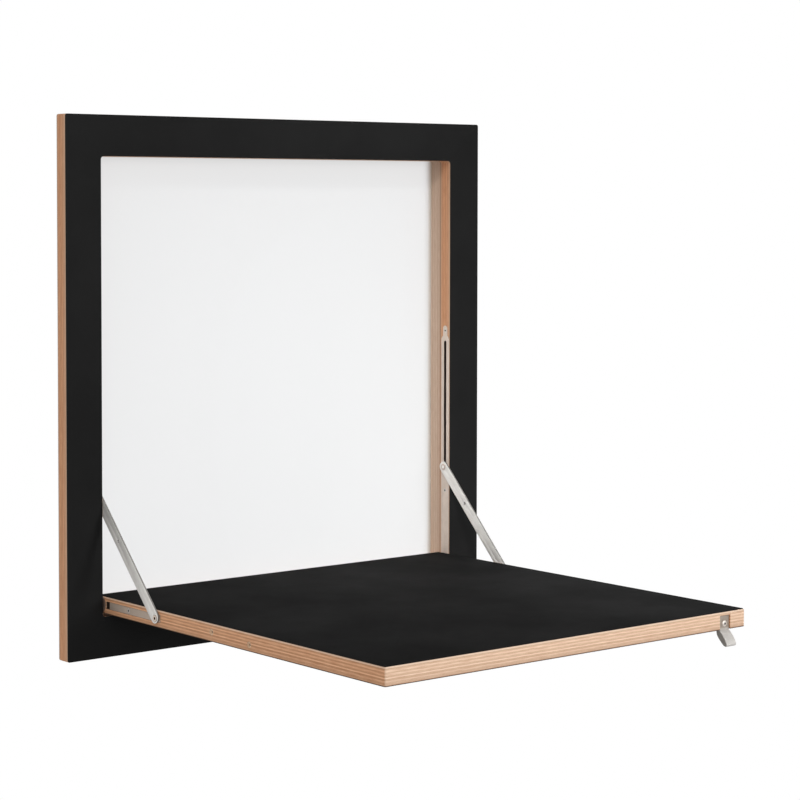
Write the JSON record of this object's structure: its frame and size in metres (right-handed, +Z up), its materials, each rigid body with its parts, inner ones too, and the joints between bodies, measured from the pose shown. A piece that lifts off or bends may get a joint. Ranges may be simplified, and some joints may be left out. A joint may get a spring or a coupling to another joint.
{
  "type": "wall-mounted folding table",
  "caption": "Square framed wall table with a leaf that folds down out of its frame, held level by slotted steel stays, with black laminate faces and plywood edges.",
  "frame": {"origin": "on the wall, in the middle of the line of wall screws in the hanging rail", "axes": "+X to the right as one faces the wall, +Y into the wall, +Z up"},
  "size_m": [0.71, 0.626, 0.71],
  "materials": {
    "birch_plywood": "clear matt lacquer over sanded ply edges",
    "black_laminate": "fine matt black high-pressure laminate",
    "stay_steel": "satin nickel plated flat steel",
    "zinc_plated_steel": "bright zinc plating",
    "satin_pull": "satin plated casting",
    "nylon": "grey glass-filled nylon",
    "magnet_cup": "nickel plated cup"
  },
  "bodies": {
    "frame": {"front_board_core": "birch_plywood", "front_board_face_laminate": "black_laminate", "front_board_back_laminate": "black_laminate", "rear_frame": "birch_plywood", "rear_frame_screws": "zinc_plated_steel", "wall_rail": "zinc_plated_steel", "hanger_rail": "zinc_plated_steel", "hanger_rail_screws": "zinc_plated_steel", "stay_rail_left": "stay_steel", "stay_rail_right": "stay_steel", "stay_rail_screws_left": "zinc_plated_steel", "stay_rail_screws_right": "zinc_plated_steel", "hinge_pin_left": "stay_steel", "hinge_pin_right": "stay_steel"},
    "leaf": {"leaf_core": "birch_plywood", "leaf_top_laminate": "black_laminate", "leaf_under_laminate": "black_laminate", "hinge_bush_left": "nylon", "hinge_bush_right": "nylon", "stay_plate_left": "stay_steel", "stay_plate_right": "stay_steel", "stay_plate_screws_left": "zinc_plated_steel", "stay_plate_screws_right": "zinc_plated_steel", "holding_magnets_left": "magnet_cup", "holding_magnets_right": "magnet_cup", "finger_pull": "satin_pull", "finger_pull_screw": "zinc_plated_steel"},
    "slider_left": {"slider_pin_left": "stay_steel", "slider_washer_left": "nylon"},
    "slider_right": {"slider_pin_right": "stay_steel", "slider_washer_right": "nylon"},
    "arm_left": {"stay_arm_left": "stay_steel", "stay_rivet_left": "stay_steel"},
    "arm_right": {"stay_arm_right": "stay_steel", "stay_rivet_right": "stay_steel"}
  },
  "joints": [
    {"name": "leaf_fold", "type": "hinge", "parent": "frame", "child": "leaf", "pos_m": [0, -0.0315, -0.6035], "axis": [-1, 0, 0], "range_deg": [0, 90]},
    {"name": "left_slider_travel", "type": "slide", "parent": "frame", "child": "slider_left", "axis": [0, 0, 1], "range_m": [0, 0.1835]},
    {"name": "right_slider_travel", "type": "slide", "parent": "frame", "child": "slider_right", "axis": [0, 0, 1], "range_m": [0, 0.1835]},
    {"name": "left_arm_swing", "type": "hinge", "parent": "slider_left", "child": "arm_left", "pos_m": [0, -0.0315, -0.46588], "axis": [1, 0, 0], "range_deg": [0, 43.6]},
    {"name": "right_arm_swing", "type": "hinge", "parent": "slider_right", "child": "arm_right", "pos_m": [0, -0.0315, -0.46588], "axis": [1, 0, 0], "range_deg": [0, 43.6]}
  ],
  "couplings": [
    {"joint": "left_slider_travel", "follows": "leaf_fold", "m_per_rad": 0.11674},
    {"joint": "right_slider_travel", "follows": "leaf_fold", "m_per_rad": 0.11674},
    {"joint": "left_arm_swing", "follows": "leaf_fold", "ratio": 0.48432},
    {"joint": "right_arm_swing", "follows": "leaf_fold", "ratio": 0.48432}
  ]
}
